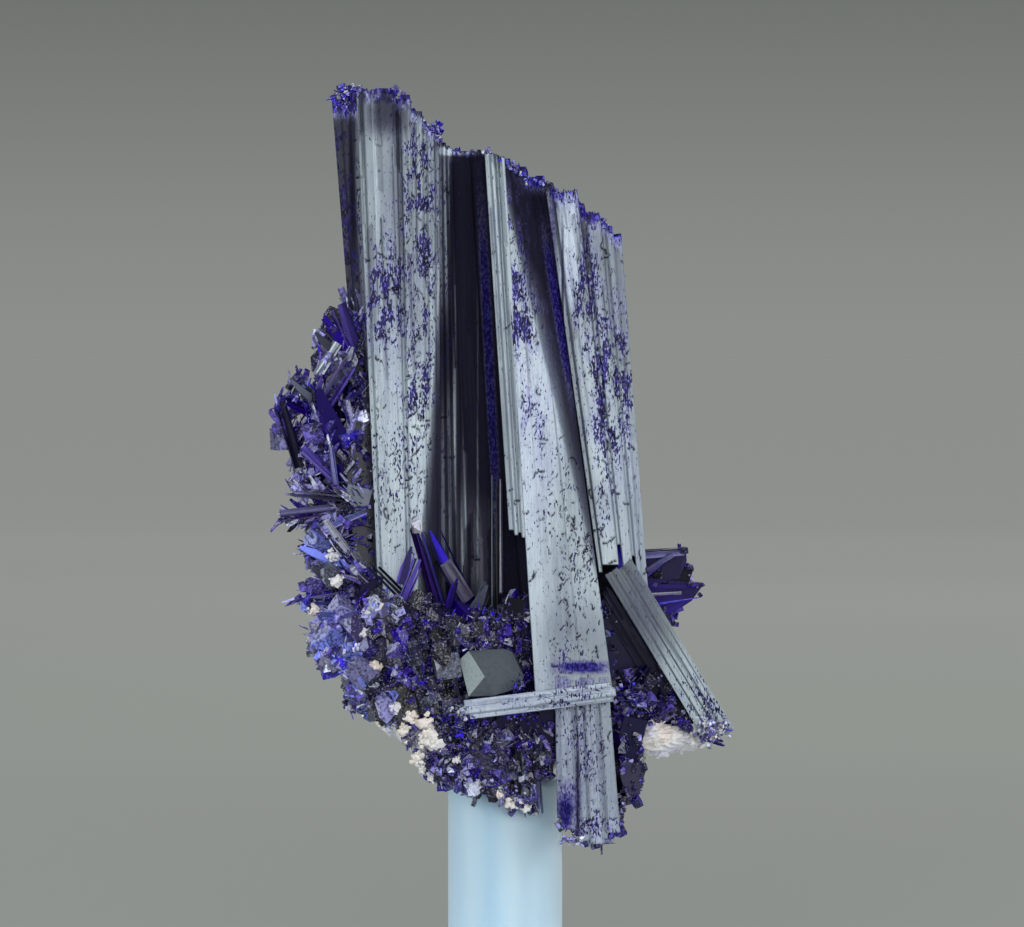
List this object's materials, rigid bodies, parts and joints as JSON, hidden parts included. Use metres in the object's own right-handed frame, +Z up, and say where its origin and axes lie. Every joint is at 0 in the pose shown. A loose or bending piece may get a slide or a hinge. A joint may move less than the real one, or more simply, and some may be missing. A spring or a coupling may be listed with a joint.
{
  "type": "azurite specimen",
  "caption": "Cluster of tall striated azurite crystals with sprays of small blue blades on pale matrix, upright on a plain plastic post with a round foot.",
  "frame": {"origin": "centre of the foot's underside, on the post's axis", "axes": "+Z up along the post, +X to the right and -Y towards the viewer when the tall crystals' striated faces are seen from the front"},
  "size_m": [0.0399, 0.038, 0.0812],
  "materials": {
    "azurite": "vitreous to submetallic crystal faces",
    "matrix": "dull crumbly rock",
    "stand": "smooth pale blue plastic"
  },
  "bodies": {
    "root": {"azurite": "azurite", "matrix": "matrix", "stand": "stand"}
  },
  "joints": []
}
